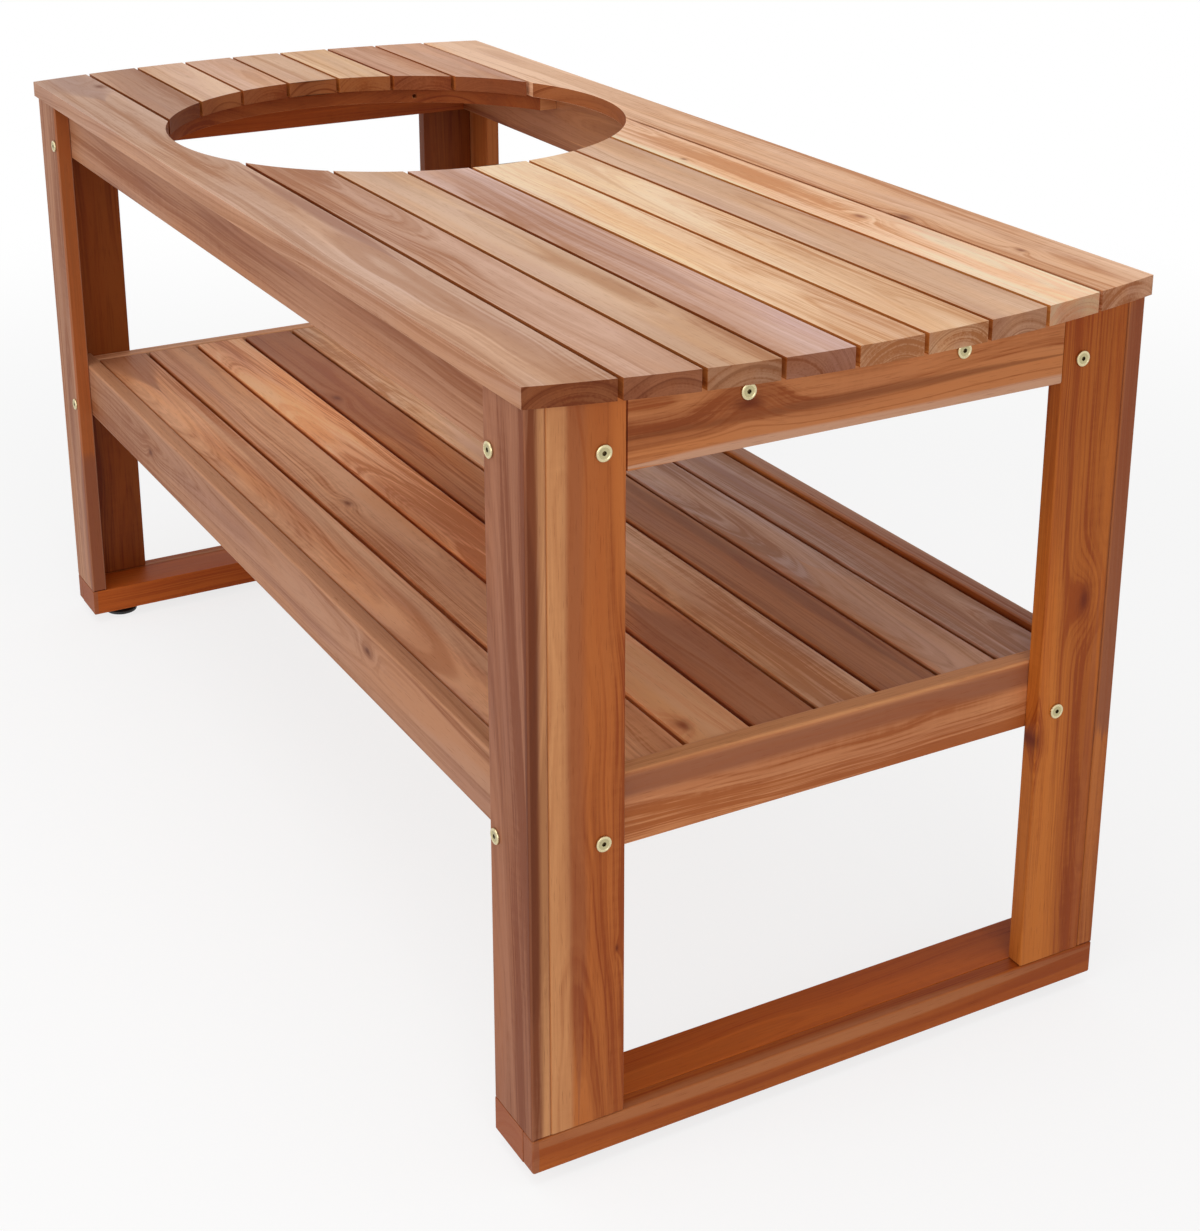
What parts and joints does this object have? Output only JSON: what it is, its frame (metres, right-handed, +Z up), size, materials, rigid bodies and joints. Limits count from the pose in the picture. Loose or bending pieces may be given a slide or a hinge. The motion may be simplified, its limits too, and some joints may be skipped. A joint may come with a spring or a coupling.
{
  "type": "kamado grill table",
  "caption": "Slatted hardwood table with bowed ends, a round cut-out for a kamado grill, an open slatted shelf, two-board legs on runners and levelling feet.",
  "frame": {"origin": "on the floor, under the middle of the table", "axes": "+X along the table towards the end without the cut-out, +Y across it, +Z up"},
  "size_m": [1.5779, 0.683, 0.795],
  "materials": {
    "top_boards": "oiled acacia, satin",
    "frame_boards": "oiled acacia, satin",
    "shelf_boards": "oiled acacia, satin",
    "inner_boards": "oiled acacia, satin",
    "yellow_zinc": "yellow zinc plate, satin",
    "nut_metal": "plain",
    "screw_steel": "yellow zinc plate, satin",
    "stud_steel": "bright zinc plate",
    "foot_plastic": "moulded nylon, matt"
  },
  "bodies": {
    "frame": {"left_edge_board": "top_boards", "right_edge_board": "top_boards", "near_top_slat_1": "top_boards", "near_top_slat_2": "top_boards", "near_top_slat_3": "top_boards", "near_top_slat_4": "top_boards", "near_top_slat_5": "top_boards", "near_top_slat_6": "top_boards", "near_top_slat_7": "top_boards", "near_arc_cleat": "inner_boards", "far_top_slat_1": "top_boards", "far_top_slat_2": "top_boards", "far_top_slat_3": "top_boards", "far_top_slat_4": "top_boards", "far_top_slat_5": "top_boards", "far_top_slat_6": "top_boards", "far_top_slat_7": "top_boards", "far_arc_cleat": "inner_boards", "cross_battens": "inner_boards", "left_apron": "frame_boards", "left_shelf_rail": "frame_boards", "right_apron": "frame_boards", "right_shelf_rail": "frame_boards", "near_top_rail": "inner_boards", "near_shelf_rail": "frame_boards", "near_end_apron": "frame_boards", "near_runner_front": "frame_boards", "near_runner_rear": "frame_boards", "far_top_rail": "inner_boards", "far_shelf_rail": "frame_boards", "far_end_apron": "frame_boards", "far_runner_front": "frame_boards", "far_runner_rear": "frame_boards", "near_left_leg_side_board": "frame_boards", "near_left_leg_end_board": "frame_boards", "near_right_leg_side_board": "frame_boards", "near_right_leg_end_board": "frame_boards", "far_left_leg_side_board": "frame_boards", "far_left_leg_end_board": "frame_boards", "far_right_leg_side_board": "frame_boards", "far_right_leg_end_board": "frame_boards", "shelf_slat_1": "shelf_boards", "shelf_slat_2": "shelf_boards", "shelf_slat_3": "shelf_boards", "shelf_slat_4": "shelf_boards", "shelf_slat_5": "shelf_boards", "shelf_slat_6": "shelf_boards", "shelf_slat_7": "shelf_boards", "shelf_slat_8": "shelf_boards", "frame_bolts": "yellow_zinc", "insert_nuts": "nut_metal", "wood_screws": "screw_steel"},
    "near_left_pad": {"near_left_foot_pad": "foot_plastic"},
    "near_left_stud": {"near_left_foot_stud": "stud_steel"},
    "near_right_pad": {"near_right_foot_pad": "foot_plastic"},
    "near_right_stud": {"near_right_foot_stud": "stud_steel"},
    "far_left_pad": {"far_left_foot_pad": "foot_plastic"},
    "far_left_stud": {"far_left_foot_stud": "stud_steel"},
    "far_right_pad": {"far_right_foot_pad": "foot_plastic"},
    "far_right_stud": {"far_right_foot_stud": "stud_steel"}
  },
  "joints": [
    {"name": "near_left_pad_slide", "type": "slide", "parent": "frame", "child": "near_left_pad", "axis": [0, 0, -1], "range_m": [0, 0.018]},
    {"name": "near_left_stud_turn", "type": "hinge", "parent": "near_left_pad", "child": "near_left_stud", "pos_m": [0.698, -0.2875, 0.015], "axis": [0, 0, -1], "range_deg": [0, 5185]},
    {"name": "near_right_pad_slide", "type": "slide", "parent": "frame", "child": "near_right_pad", "axis": [0, 0, -1], "range_m": [0, 0.018]},
    {"name": "near_right_stud_turn", "type": "hinge", "parent": "near_right_pad", "child": "near_right_stud", "pos_m": [0.698, 0.2875, 0.015], "axis": [0, 0, -1], "range_deg": [0, 5185]},
    {"name": "far_left_pad_slide", "type": "slide", "parent": "frame", "child": "far_left_pad", "axis": [0, 0, -1], "range_m": [0, 0.018]},
    {"name": "far_left_stud_turn", "type": "hinge", "parent": "far_left_pad", "child": "far_left_stud", "pos_m": [-0.698, -0.2875, 0.015], "axis": [0, 0, -1], "range_deg": [0, 5185]},
    {"name": "far_right_pad_slide", "type": "slide", "parent": "frame", "child": "far_right_pad", "axis": [0, 0, -1], "range_m": [0, 0.018]},
    {"name": "far_right_stud_turn", "type": "hinge", "parent": "far_right_pad", "child": "far_right_stud", "pos_m": [-0.698, 0.2875, 0.015], "axis": [0, 0, -1], "range_deg": [0, 5185]}
  ],
  "couplings": [
    {"joint": "near_left_stud_turn", "follows": "near_left_pad_slide", "rad_per_m": 5026.5},
    {"joint": "near_right_stud_turn", "follows": "near_right_pad_slide", "rad_per_m": 5026.5},
    {"joint": "far_left_stud_turn", "follows": "far_left_pad_slide", "rad_per_m": 5026.5},
    {"joint": "far_right_stud_turn", "follows": "far_right_pad_slide", "rad_per_m": 5026.5}
  ]
}
